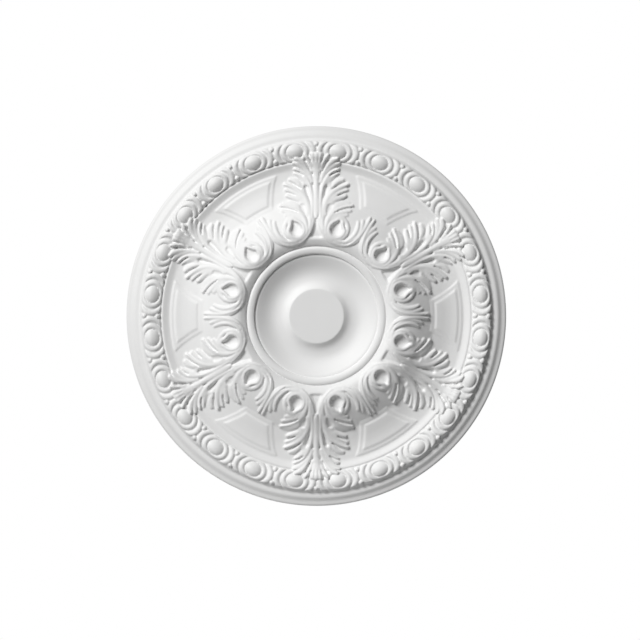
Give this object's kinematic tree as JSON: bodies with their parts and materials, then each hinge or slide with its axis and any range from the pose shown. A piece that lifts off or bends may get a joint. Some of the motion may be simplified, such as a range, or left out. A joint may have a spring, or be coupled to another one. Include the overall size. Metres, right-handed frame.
{
  "type": "ceiling rose",
  "caption": "Round moulded ceiling rose: plain middle, big roll with acanthus sprays and scrolls, raised panels, egg-and-dart border, stepped rim and flat back for fixing to a ceiling.",
  "frame": {"origin": "centre of the flat back, the face that is fixed to the ceiling", "axes": "+Y is the way the flat back faces, so the carved face looks along -Y and +Y points up when the rose is on a ceiling; +Z runs from the centre along the middle of one acanthus spray, the picture's up; +X is the picture's right"},
  "size_m": [0.5, 0.042, 0.5],
  "materials": {
    "casting": "matt white priming paint on a moulded casting"
  },
  "bodies": {
    "root": {"ceiling_rose": "casting"}
  },
  "joints": []
}
